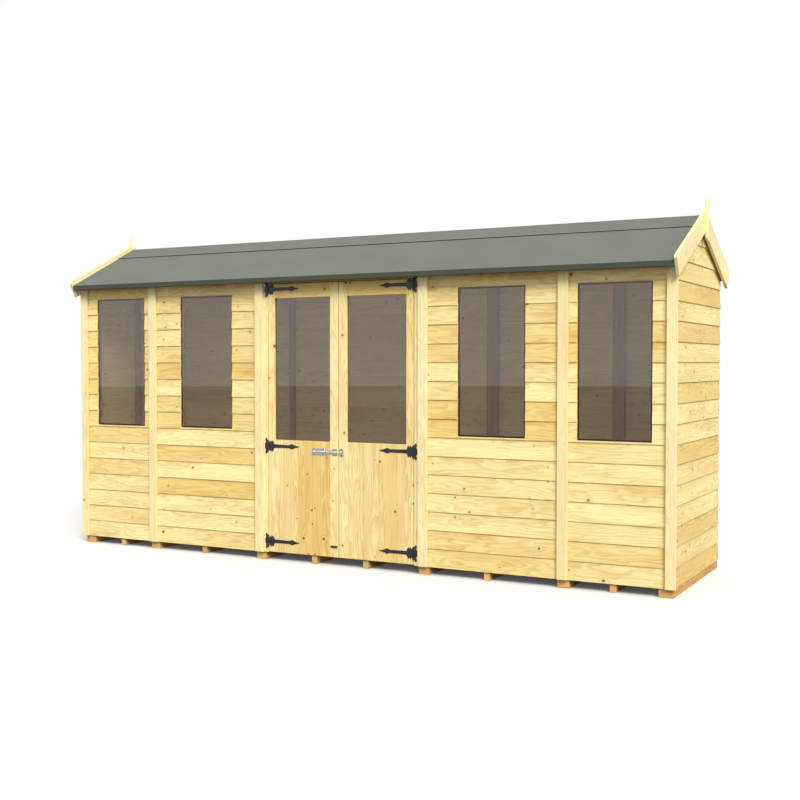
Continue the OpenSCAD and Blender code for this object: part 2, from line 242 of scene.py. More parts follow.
def make_grain_group():
    """Softwood: growth rings round a pith, fine fibres, slow shading and a few round knots."""
    group = bpy.data.node_groups.new("softwood", "ShaderNodeTree")
    for name, kind in (("Grain", "NodeSocketVector"), ("Tone", "NodeSocketFloat"),
                       ("Pale", "NodeSocketColor"), ("Deep", "NodeSocketColor"),
                       ("Dark Board", "NodeSocketColor"), ("Knot", "NodeSocketColor"),
                       ("Knots", "NodeSocketFloat"), ("Rings", "NodeSocketFloat")):
        group.interface.new_socket(name, in_out="INPUT", socket_type=kind)
    for name, kind in (("Color", "NodeSocketColor"), ("Roughness", "NodeSocketFloat"),
                       ("Height", "NodeSocketFloat")):
        group.interface.new_socket(name, in_out="OUTPUT", socket_type=kind)
    nodes, links = group.nodes, group.links
    given = nodes.new("NodeGroupInput")
    result = nodes.new("NodeGroupOutput")

    def noise(stretch, roughness=0.5):
        scaled = nodes.new("ShaderNodeVectorMath")
        scaled.operation = "MULTIPLY"
        scaled.inputs[1].default_value = stretch
        texture = nodes.new("ShaderNodeTexNoise")
        texture.inputs["Scale"].default_value = 1
        texture.inputs["Detail"].default_value = 3
        texture.inputs["Roughness"].default_value = roughness
        links.new(given.outputs["Grain"], scaled.inputs[0])
        links.new(scaled.outputs[0], texture.inputs["Vector"])
        return texture.outputs["Fac"]

    def math_node(name, a, b=None, c=None):
        node = nodes.new("ShaderNodeMath")
        node.operation = name
        for socket, source in zip(node.inputs, (a, b, c)):
            if source is None:
                continue
            if isinstance(source, (int, float)):
                socket.default_value = source
            else:
                links.new(source, socket)
        return node.outputs[0]

    # Knots are the rarer cells of a coarse cell pattern, the same right through a board.
    cells = nodes.new("ShaderNodeTexVoronoi")
    cells.inputs["Scale"].default_value = 9.5
    cells.voronoi_dimensions = "2D"
    links.new(given.outputs["Grain"], cells.inputs["Vector"])
    pick_cell = nodes.new("ShaderNodeSeparateColor")
    links.new(cells.outputs["Color"], pick_cell.inputs[0])
    rare = math_node("LESS_THAN", pick_cell.outputs[0], given.outputs["Knots"])
    size = math_node("MULTIPLY_ADD", pick_cell.outputs[1], 0.070, 0.045)
    reach = math_node("DIVIDE", cells.outputs["Distance"], size)
    core = ramp(group, 1.0, 0.55)
    links.new(reach, core.inputs["Value"])
    halo = ramp(group, 3.6, 0.6)
    links.new(reach, halo.inputs["Value"])
    knot = math_node("MULTIPLY", core.outputs[0], rare)
    swirl = math_node("MULTIPLY", halo.outputs[0], rare)

    # Rings: distance from the pith, pushed about slowly along the board and round each knot.
    parts = nodes.new("ShaderNodeSeparateXYZ")
    links.new(given.outputs["Grain"], parts.inputs[0])
    radius = math_node("SQRT", math_node("ADD", math_node("POWER", parts.outputs[1], 2),
                                         math_node("POWER", parts.outputs[2], 2)))
    wander = math_node("MULTIPLY", noise((1.6, 9, 9)), 0.075)
    phase = math_node("MULTIPLY", math_node("ADD", radius, wander), 150)
    phase = math_node("ADD", phase, math_node("MULTIPLY", swirl, 1.6))
    ring = math_node("FRACT", phase)
    late = ramp(group, 0.15, 0.85)
    links.new(ring, late.inputs["Value"])
    sharp = ramp(group, 1.0, 0.86)
    links.new(ring, sharp.inputs["Value"])
    band = math_node("MULTIPLY", late.outputs[0], sharp.outputs[0])
    band = math_node("MULTIPLY", band, given.outputs["Rings"])
    fibre = noise((5, 260, 260), 0.6)
    slow = noise((1.4, 9, 9))

    # Colour: pale wood, deeper late wood, the board's own tone, then the knots.
    depth = math_node("MULTIPLY_ADD", math_node("SUBTRACT", fibre, 0.5), 1.15, band)
    depth = math_node("MULTIPLY_ADD", math_node("SUBTRACT", slow, 0.44), 1.7, depth)
    clamped = nodes.new("ShaderNodeClamp")
    links.new(depth, clamped.inputs[0])
    wood = mixed(group)
    links.new(clamped.outputs[0], wood.inputs["Factor"])
    links.new(given.outputs["Pale"], wood.inputs["A"])
    links.new(given.outputs["Deep"], wood.inputs["B"])
    toned = mixed(group, "MULTIPLY")
    links.new(given.outputs["Tone"], toned.inputs["Factor"])
    links.new(wood.outputs["Result"], toned.inputs["A"])
    links.new(given.outputs["Dark Board"], toned.inputs["B"])
    ringed = mixed(group)
    links.new(math_node("MULTIPLY", swirl, 0.35), ringed.inputs["Factor"])
    links.new(toned.outputs["Result"], ringed.inputs["A"])
    links.new(given.outputs["Deep"], ringed.inputs["B"])
    final = mixed(group)
    links.new(math_node("MULTIPLY", knot, 0.9), final.inputs["Factor"])
    links.new(ringed.outputs["Result"], final.inputs["A"])
    links.new(given.outputs["Knot"], final.inputs["B"])
    links.new(final.outputs["Result"], result.inputs["Color"])
    rough = math_node("MULTIPLY_ADD", fibre, 0.3, 0.45)
    links.new(math_node("MULTIPLY_ADD", knot, -0.15, rough), result.inputs["Roughness"])
    height = math_node("MULTIPLY_ADD", fibre, 0.8, math_node("MULTIPLY", band, 0.5))
    links.new(math_node("MULTIPLY_ADD", knot, -0.5, height), result.inputs["Height"])
    return group


softwood = make_grain_group()


def timber(name, pale, deep, dark_board, knot, knots=0.16, rings=0.6):
    """A finish for timber, from its colours and how knotty it is."""
    material = bpy.data.materials.new(name)
    material.use_nodes = True
    nodes, links = material.node_tree.nodes, material.node_tree.links
    surface = nodes["Principled BSDF"]
    surface.inputs["Specular IOR Level"].default_value = 0.3
    place = nodes.new("ShaderNodeAttribute")
    place.attribute_name = "grain"
    tone = nodes.new("ShaderNodeAttribute")
    tone.attribute_name = "tone"
    wood = nodes.new("ShaderNodeGroup")
    wood.node_tree = softwood
    for socket, colour in (("Pale", pale), ("Deep", deep), ("Dark Board", dark_board), ("Knot", knot)):
        wood.inputs[socket].default_value = (*colour, 1)
    wood.inputs["Knots"].default_value = knots
    wood.inputs["Rings"].default_value = rings
    bump = nodes.new("ShaderNodeBump")
    bump.inputs["Strength"].default_value = 0.6
    bump.inputs["Distance"].default_value = 0.0005
    links.new(place.outputs["Vector"], wood.inputs["Grain"])
    links.new(tone.outputs["Fac"], wood.inputs["Tone"])
    links.new(wood.outputs["Color"], surface.inputs["Base Color"])
    links.new(wood.outputs["Roughness"], surface.inputs["Roughness"])
    links.new(wood.outputs["Height"], bump.inputs["Height"])
    links.new(bump.outputs[0], surface.inputs["Normal"])
    return material


def finish(piece, material, slot, body, *nodes):
    """Paint a piece, set it on its body, and let it stand for its CAD nodes. The slot is not used."""
    piece.data.materials.clear()
    piece.data.materials.append(material)
    if nodes:
        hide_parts(*nodes)
    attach(piece, body)
    bpy.ops.object.select_all(action="DESELECT")


bearer_wood = timber("treated bearer", (0.90, 0.54, 0.19), (0.60, 0.30, 0.085), (0.86, 0.80, 0.74),
                     (0.10, 0.035, 0.012), knots=0.06)
bearers = sawn("bearers", "floor_bearers", 0.0015)
lay_grain(bearers, 11, pith=(0.005, 0.03))
finish(bearers, bearer_wood, "bearer_wood", "building", "floor_bearers")

# Floor: boards laid along the building over the bearers, planed on top, with narrow gaps.
board_wood = timber("floor and roof board", (0.66, 0.46, 0.22), (0.45, 0.27, 0.11), (0.78, 0.74, 0.70),
                    (0.12, 0.05, 0.02))
low, high = (Vector(corner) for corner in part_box("floor_deck"))
floor_board_count = 11
floor_pitch = (high.y - low.y) / floor_board_count
floor_gap = 0.0015


def board(name, low, high):
    """One square board between two corners."""
    size, middle = Vector(high) - Vector(low), (Vector(high) + Vector(low)) / 2
    bpy.ops.mesh.primitive_cube_add(size=1, location=middle)
    piece = bpy.context.object
    piece.name = piece.data.name = name
    piece.scale = size
    bpy.ops.object.transform_apply(location=True, rotation=True, scale=True)
    return piece


def repeat(piece, count, step):
    """Copies of a piece in a row, in the same mesh."""
    row = piece.modifiers.new("row", "ARRAY")
    row.use_relative_offset = False
    row.use_constant_offset = True
    row.constant_offset_displace = step
    row.count = count
    pick(piece)
    bpy.ops.object.modifier_apply(modifier=row.name)


def join(name, pieces):
    """Several meshes made one."""
    pick(*pieces)
    if len(pieces) > 1:
        bpy.ops.object.join()
    piece = bpy.context.object
    piece.name = piece.data.name = name
    return piece


deck = board("floor_boards", low, (high.x, low.y + floor_pitch - floor_gap, high.z))
repeat(deck, floor_board_count, (0, floor_pitch, 0))
bevel(deck, 0.001)
lay_grain(deck, 12)
finish(deck, board_wood, "board_wood", "building", "floor_deck")

# Wall frames: studs, plates and window rails in red-brown treated softwood, nailed up behind the
# cladding. They show through the windows and the open doors.
frame_wood = timber("red-brown stud", (0.42, 0.185, 0.105), (0.26, 0.10, 0.055), (0.75, 0.70, 0.68),
                    (0.07, 0.025, 0.012), knots=0.06)
for seed, (name, node) in enumerate((("studs", "wall_studs"), ("plates_low", "bottom_plates"),
                                     ("plates_high", "top_plates"), ("rails", "window_rails"),
                                     ("beams", "roof_beams"), ("beading", "window_beads"))):
    timbers = sawn(name, node, 0.0015)
    lay_grain(timbers, 20 + seed, pith=(0.005, 0.04))
    finish(timbers, frame_wood, "frame_wood", "building", node)

# Cladding: sawn feather-edge boards laid level, thick at the bottom edge and lapped over the
# board below, nailed to the frames. Each panel between two trims has boards of its own.
cladding_wood = timber("pale pine cladding", (0.99, 0.86, 0.43), (0.77, 0.53, 0.18), (0.86, 0.73, 0.48),
                       (0.20, 0.085, 0.025), knots=0.24, rings=0.5)
trim_wood = timber("planed pine trim", (0.98, 0.86, 0.47), (0.83, 0.62, 0.27), (0.95, 0.90, 0.80),
                   (0.24, 0.10, 0.03), knots=0.04, rings=0.5)
wall_low, wall_high = (Vector(corner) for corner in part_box("back_wall"))
clad_thick = wall_high.y - wall_low.y
clad_back = wall_low.y
board_pitch = 0.1148
board_lap = 0.015
top_thick = 0.0045
tuck = 0.0055


def saw_off(piece, place, direction):
    """Cut off what lies beyond a plane and close the cut."""
    pick(piece)
    bpy.ops.object.mode_set(mode="EDIT")
    bpy.ops.mesh.select_all(action="SELECT")
    bpy.ops.mesh.bisect(plane_co=place, plane_no=direction, use_fill=True, clear_outer=True)
    bpy.ops.mesh.select_all(action="SELECT")
    bpy.ops.mesh.normals_make_consistent(inside=False)
    bpy.ops.object.mode_set(mode="OBJECT")


def cut_hole(piece, low, high):
    """Cut a square opening right through a piece."""
    cutter = board("cutter", low, high)
    opening = piece.modifiers.new("opening", "BOOLEAN")
    opening.operation = "DIFFERENCE"
    opening.solver = "EXACT"
    opening.object = cutter
    pick(piece)
    bpy.ops.object.modifier_apply(modifier=opening.name)
    bpy.data.objects.remove(cutter, do_unlink=True)


def lapped_boards(name, x0, x1, z0, z1, seed, hole=None, slopes=()):
    """Feather-edge boards from x0 to x1, their backs on the plane y = 0 and their faces to -y."""
    draw = random.Random(seed)
    stack = board(name, (x0, -clad_thick, z0), (x1, 0, z0 + board_pitch + board_lap))
    pick(stack)
    bpy.ops.object.mode_set(mode="EDIT")
    bpy.ops.mesh.select_all(action="DESELECT")
    bpy.ops.object.mode_set(mode="OBJECT")
    middle_y, middle_z = -clad_thick / 2, z0 + (board_pitch + board_lap) / 2
    for front, top, move in ((True, True, clad_thick - top_thick), (False, False, -tuck)):
        for vertex in stack.data.vertices:
            vertex.select = (vertex.co.y < middle_y) == front and (vertex.co.z > middle_z) == top
        bpy.ops.object.mode_set(mode="EDIT")
        bpy.ops.transform.translate(value=(0, move, 0))
        bpy.ops.mesh.select_all(action="DESELECT")
        bpy.ops.object.mode_set(mode="OBJECT")
    repeat(stack, math.ceil((z1 - z0) / board_pitch), (0, 0, board_pitch))
    for group in islands(stack.data):
        drop, lean = draw.uniform(-0.0012, 0.0012), draw.uniform(-0.0006, 0.0006)
        for i in group:
            vertex = stack.data.vertices[i]
            vertex.co.z += drop + draw.uniform(-0.0006, 0.0006)
            vertex.co.y += max(lean, -0.0002) if vertex.co.y < -clad_thick / 2 else 0
    saw_off(stack, (0, 0, z1), (0, 0, 1))
    saw_off(stack, (0, 0, z0), (0, 0, -1))
    for place, direction in slopes:
        saw_off(stack, place, direction)
    if hole:
        cut_hole(stack, *hole)
    bevel(stack, 0.0008)
    return stack


def turn_wall(piece, place, angle):
    """Turn a finished wall to its side of the building and set it there."""
    piece.location = place
    piece.rotation_euler.z = math.radians(angle)
    pick(piece)
    bpy.ops.object.transform_apply(location=True, rotation=True, scale=True)


window_low, window_high = (Vector(corner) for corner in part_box("window_panes"))
pane_half_width = 0.219
pane_centres = (("front_left_outer_wall", -1.818), ("front_left_inner_wall", -1.060),
                ("front_right_inner_wall", 1.060), ("front_right_outer_wall", 1.818))
for seed, (node, pane_x) in enumerate(pane_centres):
    low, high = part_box(node)
    hole = ((pane_x - pane_half_width, -0.05, window_low.z),
            (pane_x + pane_half_width, 0.05, window_high.z))
    wall = lapped_boards(node + "_boards", low[0], high[0], low[2], high[2], 30 + seed, hole)
    turn_wall(wall, (0, -clad_back, 0), 0)
    lay_grain(wall, 40 + seed, way=(1, 0, 0), row=board_pitch)
    finish(wall, cladding_wood, "cladding", "building", node)

# Back wall: the same panels as the front, without openings.
joints = [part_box(node)[1][0] for node in ("front_left_outer_wall", "front_left_inner_wall")]
edges = [wall_low.x, joints[0], joints[1], -joints[1], -joints[0], wall_high.x]
panels = [lapped_boards("panel", a, b, wall_low.z, wall_high.z, 50 + number)
          for number, (a, b) in enumerate(zip(edges, edges[1:]))]
back = join("back_wall_boards", panels)
turn_wall(back, (0, clad_back, 0), 180)
lay_grain(back, 55, way=(1, 0, 0))
finish(back, cladding_wood, "cladding", "building", "back_wall")

# Gable walls: boards across each end, cut to the slopes of the roof.
for side, node in ((-1, "left_gable_wall"), (1, "right_gable_wall")):
    low, high = (Vector(corner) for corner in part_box(node))
    rise = (high.z - wall_high.z) / high.y
    slopes = [((0, 0, high.z), (way * rise, 0, 1)) for way in (-1, 1)]
    wall = lapped_boards(node + "_boards", low.y, high.y, low.z, high.z, 60 + side, slopes=slopes)
    turn_wall(wall, (low.x if side > 0 else high.x, 0, 0), 90 * side)
    lay_grain(wall, 65 + side, way=(0, 1, 0))
    finish(wall, cladding_wood, "cladding", "building", node)

# Cover trims, door posts, barge boards and finials: planed pine, eased at the edges. The head
# board over the doors is of the same pine as the cladding.
for seed, (name, node, ease) in enumerate((
        ("corner_boards", "corner_trims", 0.002), ("joint_boards", "panel_trims", 0.002),
        ("door_side_boards", "door_trims", 0.002), ("door_frame_posts", "door_posts", 0.002),
        ("barges", "barge_boards", 0.002), ("spikes", "finials", 0.003))):
    strip = sawn(name, node, ease)
    lay_grain(strip, 70 + seed, tones=(0, 0.6))
    finish(strip, trim_wood, "trim_wood", "building", node)
head = sawn("head_board", "door_head", 0.001)
lay_grain(head, 80)
finish(head, cladding_wood, "cladding", "building", "door_head")

# Roof boards: square-edged boards laid along the building from ridge to eave, nailed to the
# gables and beams. A batten under each eave stiffens the edge that the felt is nailed to.
roof_low, roof_high = (Vector(corner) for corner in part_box("roof_front"))
roof_across = roof_high.y - roof_low.y
roof_rise = 0.483
roof_pitch = math.atan(roof_rise)
slope_length = roof_across / math.cos(roof_pitch)
roof_board_thick = 0.0118
roof_board_count = 6
roof_board_width = slope_length / roof_board_count
roof_half_gap = 0.0008
for side, name, node in ((-1, "roof_boards_front", "roof_front"), (1, "roof_boards_back", "roof_back")):
    planks = board(name, (roof_low.x, -roof_board_width + roof_half_gap, -roof_board_thick),
                   (roof_high.x, -roof_half_gap, 0))
    repeat(planks, roof_board_count, (0, -roof_board_width, 0))
    bevel(planks, 0.001)
    planks.rotation_euler.x = roof_pitch
    planks.location.z = roof_high.z
    pick(planks)
    bpy.ops.object.transform_apply(location=True, rotation=True, scale=True)
    saw_off(planks, (0, -0.001, 0), (0, 1, 0))
    if side > 0:
        turn_wall(planks, (0, 0, 0), 180)
    lay_grain(planks, 85 + side, way=(1, 0, 0))
    finish(planks, board_wood, "board_wood", "building", node)
strips = sawn("eave_strips", "eave_battens", 0.001)
lay_grain(strips, 88)
finish(strips, board_wood, "board_wood", "building", "eave_battens")

# Roofing felt: green-grey mineral felt over both slopes, turned down and nailed at the eaves,
# with one more strip lapped over the ridge.
felt = bpy.data.materials.new("mineral felt")
felt.use_nodes = True
nodes, links = felt.node_tree.nodes, felt.node_tree.links
surface = nodes["Principled BSDF"]
surface.inputs["Roughness"].default_value = 0.9
surface.inputs["Specular IOR Level"].default_value = 0.25
place = nodes.new("ShaderNodeTexCoord")
grit = nodes.new("ShaderNodeTexNoise")
grit.inputs["Scale"].default_value = 900
grit.inputs["Detail"].default_value = 2
cloud = nodes.new("ShaderNodeTexNoise")
cloud.inputs["Scale"].default_value = 3
cloud.inputs["Detail"].default_value = 5
blend = mixed(felt.node_tree)
blend.inputs["A"].default_value = (0.070, 0.079, 0.064, 1)
blend.inputs["B"].default_value = (0.178, 0.193, 0.161, 1)
amount = nodes.new("ShaderNodeMath")
amount.operation = "MULTIPLY_ADD"
amount.inputs[1].default_value = 0.35
links.new(place.outputs["Object"], grit.inputs["Vector"])
links.new(place.outputs["Object"], cloud.inputs["Vector"])
links.new(cloud.outputs["Fac"], amount.inputs[0])
links.new(grit.outputs["Fac"], amount.inputs[2])
links.new(amount.outputs[0], blend.inputs["Factor"])
# Painted shade: where the felt faces sideways or down, as on the edges turned down over the eaves, its
# colour is mixed darker than on the slopes.
facing = nodes.new("ShaderNodeSeparateXYZ")
upward = ramp(felt.node_tree, 0.3, 0.8)
painted_side_shade = mixed(felt.node_tree)
painted_side_shade.inputs["A"].default_value = (0.070, 0.074, 0.056, 1)
links.new(place.outputs["Normal"], facing.inputs[0])
links.new(facing.outputs["Z"], upward.inputs["Value"])
links.new(upward.outputs[0], painted_side_shade.inputs["Factor"])
links.new(blend.outputs["Result"], painted_side_shade.inputs["B"])
links.new(painted_side_shade.outputs["Result"], surface.inputs["Base Color"])
bump = nodes.new("ShaderNodeBump")
bump.inputs["Strength"].default_value = 0.5
bump.inputs["Distance"].default_value = 0.0006
links.new(grit.outputs["Fac"], bump.inputs["Height"])
links.new(bump.outputs[0], surface.inputs["Normal"])
for name, node in (("felt_sheets", "roof_felt"), ("felt_ridge_strip", "ridge_felt")):
    sheet = sawn(name, node, 0.001)
    finish(sheet, felt, "felt", "building", node)

# Painted shadow: thin black strips along the lower edges of the ridge strip, where its step casts a
# shadow line, and under the eave battens, where the eave is in shade.
shadow_strip_paint = bpy.data.materials.new("painted shadow black")
shadow_strip_paint.use_nodes = True
nodes, links = shadow_strip_paint.node_tree.nodes, shadow_strip_paint.node_tree.links
surface = nodes["Principled BSDF"]
place = nodes.new("ShaderNodeTexCoord")
shadow_speckle = nodes.new("ShaderNodeTexNoise")
shadow_speckle.inputs["Scale"].default_value = 120
black = mixed(shadow_strip_paint.node_tree)
black.inputs["A"].default_value = (0.012, 0.013, 0.011, 1)
black.inputs["B"].default_value = (0.045, 0.048, 0.042, 1)
links.new(place.outputs["Object"], shadow_speckle.inputs["Vector"])
links.new(shadow_speckle.outputs["Fac"], black.inputs["Factor"])
links.new(black.outputs["Result"], surface.inputs["Base Color"])
surface.inputs["Roughness"].default_value = 0.6
strip_low, strip_high = (Vector(corner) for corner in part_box("ridge_felt"))
seams = []
# Painted shadow lines along the lower edges of the ridge strip.
for side in (-1, 1):
    seam = board("seam", (roof_low.x + 0.001, -0.0016, -0.0012), (roof_high.x - 0.001, 0.0016, 0.0042))
    seam.rotation_euler.x = -side * roof_pitch
    seam.location = (0, side * (strip_high.y + 0.0012), strip_low.z)
    pick(seam)
    bpy.ops.object.transform_apply(location=True, rotation=True, scale=True)
    bevel(seam, 0.0008)
    seams.append(seam)
felt_low = Vector(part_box("roof_felt")[0])
# Painted shade: black strips under the eave battens, standing in for the shaded underside of the eave.
for side in (-1, 1):
    y0, y1 = sorted((side * (-felt_low.y - 0.0034), side * (-felt_low.y - 0.040)))
    seams.append(board("return", (roof_low.x + 0.001, y0, felt_low.z + 0.0006),
                       (roof_high.x - 0.001, y1, felt_low.z + 0.0026)))
seams = join("painted_shadow_strips", seams)
finish(seams, shadow_strip_paint, "felt", "building")

# Glass: panes behind the cladding. A tint and a strong reflection give them the greenish brown of
# glass with a dark room behind it, and about a third of the light outside reaches the room.
glass = bpy.data.materials.new("window glass")
glass.use_nodes = True
nodes, links = glass.node_tree.nodes, glass.node_tree.links
surface = nodes["Principled BSDF"]
surface.inputs["Base Color"].default_value = (0.80, 0.75, 0.62, 1)
surface.inputs["Roughness"].default_value = 0.0
surface.inputs["IOR"].default_value = 1.75
surface.inputs["Transmission Weight"].default_value = 0.991
through = nodes.new("ShaderNodeBsdfTransparent")
through.inputs["Color"].default_value = (0.31, 0.31, 0.30, 1)
rays = nodes.new("ShaderNodeLightPath")
lets_light = nodes.new("ShaderNodeMixShader")
links.new(rays.outputs["Is Shadow Ray"], lets_light.inputs["Fac"])
links.new(surface.outputs[0], lets_light.inputs[1])
links.new(through.outputs[0], lets_light.inputs[2])
links.new(lets_light.outputs[0], nodes["Material Output"].inputs["Surface"])
for name, node, body in (("wall_glass", "window_panes", "building"),
                         ("left_door_glass", "left_door_pane", "left_door"),
                         ("right_door_glass", "right_door_pane", "right_door")):
    pane = sawn(name, node, 0.0004)
    finish(pane, glass, "glass", body, node)

# Doors: vertical planed boards nailed to a frame of stiles and ledges, with a level rail over
# the glass. The boards meet edge to edge with a fine line between them.
door_wood = timber("planed door board", (0.99, 0.83, 0.41), (0.78, 0.53, 0.18), (0.88, 0.77, 0.54),
                   (0.20, 0.085, 0.025), knots=0.28)
board_edges = {"left_door": (0.0015, 0.065, 0.196, 0.309, 0.425, 0.541),
               "right_door": (0.0015, 0.073, 0.185, 0.297, 0.425, 0.541)}
half_gap = 0.0008
glass_x = (0.063, 0.491)
glass_z = (0.802, 1.736)
for side, body in ((-1, "left_door"), (1, "right_door")):
    low, high = (Vector(corner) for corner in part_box(body + "_boards"))
    edges = board_edges[body]
    boards = []
    for a, b in zip(edges, edges[1:]):
        x0, x1 = sorted((side * (a + half_gap), side * (b - half_gap)))
        boards.append(board("door_board", (x0, low.y, low.z), (x1, high.y, high.z)))
    leaf = join(body + "_leaf", boards)
    x0, x1 = sorted((side * glass_x[0], side * glass_x[1]))
    cut_hole(leaf, (x0, low.y - 0.02, glass_z[0]), (x1, high.y + 0.02, high.z + 0.01))
    rail = board("rail", (x0 + 0.0003, low.y, glass_z[1]), (x1 - 0.0003, high.y, high.z))
    leaf = join(body + "_leaf", [leaf, rail])
    bevel(leaf, 0.0014)
    lay_grain(leaf, 90 + side)
    finish(leaf, door_wood, "cladding", body, body + "_boards")
    for number, part in enumerate(("stiles", "ledges")):
        timbers = sawn(f"{body}_{part}_eased", f"{body}_{part}", 0.0015)
        lay_grain(timbers, 95 + 2 * side + number)
        finish(timbers, frame_wood, "frame_wood", body, f"{body}_{part}")

# Strap hinges: black enamelled iron. On each a waisted plate is screwed to the door post and a
# strap with a stepped root and a spear end to the door, and their knuckles turn on one pin.
iron = bpy.data.materials.new("black enamelled iron")
iron.use_nodes = True
nodes, links = iron.node_tree.nodes, iron.node_tree.links
surface = nodes["Principled BSDF"]
surface.inputs["Base Color"].default_value = (0.022, 0.023, 0.029, 1)
surface.inputs["Coat Weight"].default_value = 0.25
surface.inputs["Coat Roughness"].default_value = 0.3
place = nodes.new("ShaderNodeTexCoord")
dimple = nodes.new("ShaderNodeTexNoise")
dimple.inputs["Scale"].default_value = 260
dimple.inputs["Detail"].default_value = 3
patchy = nodes.new("ShaderNodeMapRange")
patchy.inputs["To Min"].default_value = 0.32
patchy.inputs["To Max"].default_value = 0.58
bump = nodes.new("ShaderNodeBump")
bump.inputs["Strength"].default_value = 0.35
bump.inputs["Distance"].default_value = 0.0004
links.new(place.outputs["Object"], dimple.inputs["Vector"])
links.new(dimple.outputs["Fac"], patchy.inputs["Value"])
links.new(patchy.outputs[0], surface.inputs["Roughness"])
links.new(dimple.outputs["Fac"], bump.inputs["Height"])
links.new(bump.outputs[0], surface.inputs["Normal"])

strap_low, strap_high = (Vector(corner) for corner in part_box("right_door_straps"))
knuckle_radius = 0.005
knuckle_height = 0.025
root_half = 0.038
middle_hinge = 0.760
pin_radius = 0.0042
pin_half = 0.0405
pin_x, pin_y = strap_high.x - knuckle_radius, strap_low.y + knuckle_radius
hinge_heights = (strap_low.z + root_half, middle_hinge, strap_high.z - root_half)
door_face = strap_high.y
plate_thick = 0.003
post_plate = ((0.026, 0.015), (0.020, 0.021), (0.0185, 0.027), (0.0185, 0.032), (0.024, 0.040),
              (0.020, 0.047), (0.015, 0.055), (0.010, 0.047), (0.006, 0.040), (0.0115, 0.032),
              (0.0115, 0.027), (0.010, 0.021), (0.0045, 0.015))
door_strap = ((-0.007, 0.030), (-0.011, 0.030), (-0.015, 0.024), (-0.021, 0.040), (-0.028, 0.027),
              (-0.036, 0.038), (-0.043, 0.026), (-0.050, 0.0120), (-0.095, 0.0110), (-0.160, 0.0100),
              (-0.170, 0.0110), (-0.183, 0.0165), (-0.192, 0.0165), (-0.206, 0.0100), (-0.244, 0.0010))


def cut_plate(name, half, thick, ease=0.0007):
    """A plate with its face to -y, from one half of an outline that is level about z = 0."""
    outline = [(x, z) for x, z in half] + [(x, -z) for x, z in reversed(half)]
    bpy.ops.mesh.primitive_circle_add(vertices=len(outline), fill_type="NGON",
                                      rotation=(math.radians(90), 0, 0))
    plate = bpy.context.object
    plate.name = plate.data.name = name
    bpy.ops.object.transform_apply(location=True, rotation=True, scale=True)
    for vertex, (x, z) in zip(plate.data.vertices, outline):
        vertex.co = (x, 0, z)
    bpy.ops.object.mode_set(mode="EDIT")
    bpy.ops.mesh.select_all(action="SELECT")
    bpy.ops.mesh.extrude_region_move(TRANSFORM_OT_translate={"value": (0, -thick, 0)})
    bpy.ops.mesh.select_all(action="SELECT")
    bpy.ops.mesh.normals_make_consistent(inside=False)
    bpy.ops.object.mode_set(mode="OBJECT")
    bevel(plate, ease)
    return plate


def turned(name, radius, height, middle, axis="Z", ease=0.0006):
    """A round bar or pin, upright or lying along x."""
    turn = {"Z": (0, 0, 0), "X": (0, math.radians(90), 0)}[axis]
    bpy.ops.mesh.primitive_cylinder_add(vertices=24, radius=radius, depth=height,
                                        location=middle, rotation=turn)
    bar = bpy.context.object
    bar.name = bar.data.name = name
    bpy.ops.object.transform_apply(location=True, rotation=True, scale=True)
    bevel(bar, ease)
    bpy.ops.object.shade_smooth_by_angle(angle=math.radians(35))
    return bar


def dome_screw(x, y, z, radius=0.0034):
    """The domed head of a screw on a plate whose face is at y."""
    bpy.ops.mesh.primitive_uv_sphere_add(segments=14, ring_count=8, radius=radius, location=(x, y, z),
                                         rotation=(math.radians(90), 0, 0), scale=(1, 1, 0.45))
    head = bpy.context.object
    head.name = head.data.name = "screw"
    bpy.ops.object.transform_apply(location=True, rotation=True, scale=True)
    bpy.ops.object.shade_smooth()
    return head


def place_at(piece, x, y, z):
    """Move the mesh of a part just made, and leave its object at the origin."""
    piece.location = (x, y, z)
    pick(piece)
    bpy.ops.object.transform_apply(location=True, rotation=True, scale=True)
    return piece


def mirror_across(piece):
    """Make a right-hand piece a left-hand one."""
    piece.scale.x = -1
    pick(piece)
    bpy.ops.object.transform_apply(location=True, rotation=True, scale=True)
    bpy.ops.object.mode_set(mode="EDIT")
    bpy.ops.mesh.select_all(action="SELECT")
    bpy.ops.mesh.normals_make_consistent(inside=False)
    bpy.ops.object.mode_set(mode="OBJECT")
    return piece


def fixed_leaf(side, z):
    """Plate, two knuckles, the pin with its heads, and four screws."""
    parts = [place_at(cut_plate("post_plate", post_plate, plate_thick), pin_x, door_face, z)]
    for up in (-1, 1):
        middle = z + up * (knuckle_height + 0.0005)
        parts.append(turned("knuckle", knuckle_radius, knuckle_height, (pin_x, pin_y, middle)))
        parts.append(board("web", (pin_x, door_face - 0.0035, middle - 0.012),
                           (pin_x + 0.009, door_face - 0.001, middle + 0.012)))
        parts.append(dome_screw(pin_x + 0.015, door_face - plate_thick, z + up * 0.041))
        parts.append(dome_screw(pin_x + 0.017, door_face - plate_thick, z + up * 0.010))
    parts.append(turned("pin", pin_radius, 2 * pin_half, (pin_x, pin_y, z), ease=0.0012))
    leaf = join("fixed_leaf", parts)
    return mirror_across(leaf) if side < 0 else leaf


def moving_leaf(side, z):
    """Strap, middle knuckle and five screws."""
    parts = [place_at(cut_plate("door_strap", door_strap, plate_thick), pin_x, door_face, z),
             turned("knuckle", knuckle_radius, knuckle_height, (pin_x, pin_y, z)),
             board("web", (pin_x - 0.009, door_face - 0.0035, z - 0.012),
                   (pin_x, door_face - 0.001, z + 0.012))]
    for x, up in ((-0.026, 0.020), (-0.026, -0.020), (-0.070, 0), (-0.130, 0), (-0.188, 0)):
        parts.append(dome_screw(pin_x + x, door_face - plate_thick, z + up))
    leaf = join("moving_leaf", parts)
    return mirror_across(leaf) if side < 0 else leaf


